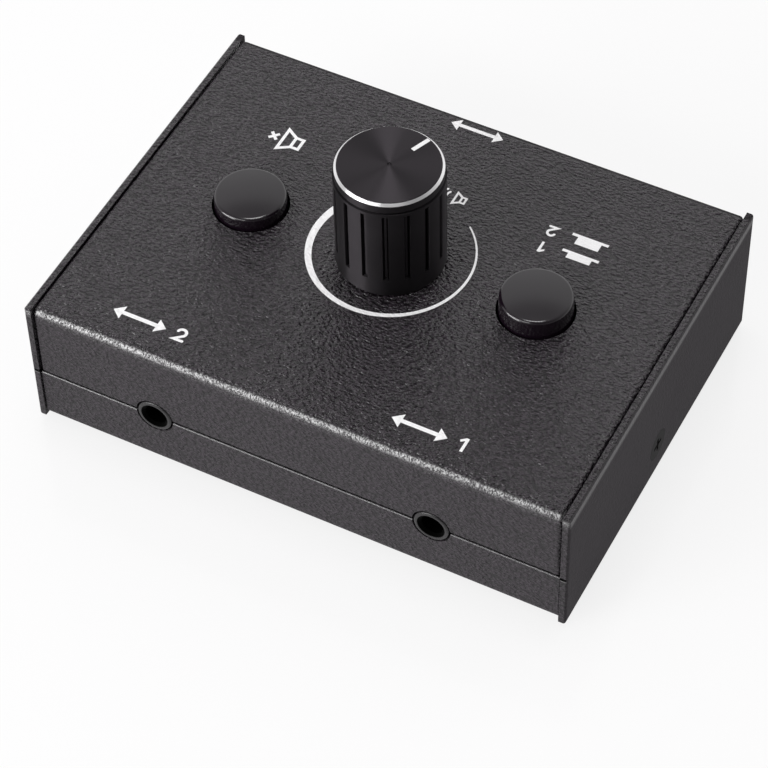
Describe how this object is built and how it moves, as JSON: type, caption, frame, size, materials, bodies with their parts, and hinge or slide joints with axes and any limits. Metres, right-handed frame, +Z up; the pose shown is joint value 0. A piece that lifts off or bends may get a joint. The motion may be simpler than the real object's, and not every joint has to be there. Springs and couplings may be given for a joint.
{
  "type": "speaker selector switch",
  "caption": "Desktop speaker selector: a low sheet-metal box with a volume knob, latching mute and selector push buttons, and 3.5 mm audio sockets at front and rear.",
  "frame": {"origin": "centre of the case's plan, on the surface that the rubber feet stand on", "axes": "+X to the user's right along the front, +Y from the front sockets to the rear, +Z up out of the control panel"},
  "size_m": [0.09, 0.066, 0.0452],
  "materials": {
    "powder_coat": "fine leather-grain powder coat, charcoal",
    "black_screw": "black-passivated steel",
    "foot_rubber": "matte",
    "board_laminate": "solder-mask green",
    "plated_steel": "nickel plated",
    "contact_metal": "tinned",
    "jack_plastic": "moulded black",
    "pot_plastic": "moulded black",
    "wafer_laminate": "phenolic brown",
    "cast_zinc": "cast, satin",
    "knob_aluminium": "black anodised, gloss, bright cut bevel",
    "core_plastic": "moulded black",
    "pointer_white": "white enamel",
    "button_plastic": "gloss black",
    "switch_plastic": "moulded",
    "slider_plastic": "moulded, natural",
    "spring_steel": "bright wire"
  },
  "bodies": {
    "case": {"board_screws": "plated_steel", "board_standoffs": "plated_steel", "bottom_tray": "powder_coat", "circuit_board": "board_laminate", "front_left_jack_contacts": "contact_metal", "front_left_jack_housing": "jack_plastic", "front_right_jack_contacts": "contact_metal", "front_right_jack_housing": "jack_plastic", "mute_latch_wire": "spring_steel", "mute_switch_housing": "switch_plastic", "mute_switch_lid": "switch_plastic", "mute_switch_pins": "contact_metal", "mute_switch_spring": "spring_steel", "rear_jack_contacts": "contact_metal", "rear_jack_housing": "jack_plastic", "rubber_feet": "foot_rubber", "selector_latch_wire": "spring_steel", "selector_switch_housing": "switch_plastic", "selector_switch_lid": "switch_plastic", "selector_switch_pins": "contact_metal", "selector_switch_spring": "spring_steel", "side_screws": "black_screw", "top_cover": "powder_coat", "volume_pot_body": "pot_plastic", "volume_pot_bushing": "cast_zinc", "volume_pot_nut": "plated_steel", "volume_pot_terminals": "contact_metal", "volume_pot_wafers": "wafer_laminate", "volume_pot_washer": "plated_steel"},
    "volume_knob": {"knob_shell": "knob_aluminium", "knob_core": "core_plastic", "knob_pointer": "pointer_white", "volume_pot_shaft": "plated_steel", "volume_pot_wipers": "slider_plastic"},
    "mute_button": {"mute_button_cap": "button_plastic", "mute_switch_plunger": "slider_plastic", "mute_switch_bridges": "contact_metal"},
    "selector_button": {"selector_button_cap": "button_plastic", "selector_switch_plunger": "slider_plastic", "selector_switch_bridges": "contact_metal"}
  },
  "joints": [
    {"name": "volume_turn", "type": "hinge", "parent": "case", "child": "volume_knob", "pos_m": [-0.0007, 0.0009, 0.0254], "axis": [0, 0, -1], "range_deg": [0, 300]},
    {"name": "mute_press", "type": "slide", "parent": "case", "child": "mute_button", "axis": [0, 0, -1], "range_m": [-0.00095, 0.0006], "stiffness_N_per_m": 500, "deforming": ["mute_switch_spring"]},
    {"name": "selector_press", "type": "slide", "parent": "case", "child": "selector_button", "axis": [0, 0, -1], "range_m": [0, 0.00155], "stiffness_N_per_m": 500, "springref_m": -0.002, "deforming": ["selector_switch_spring"]}
  ]
}
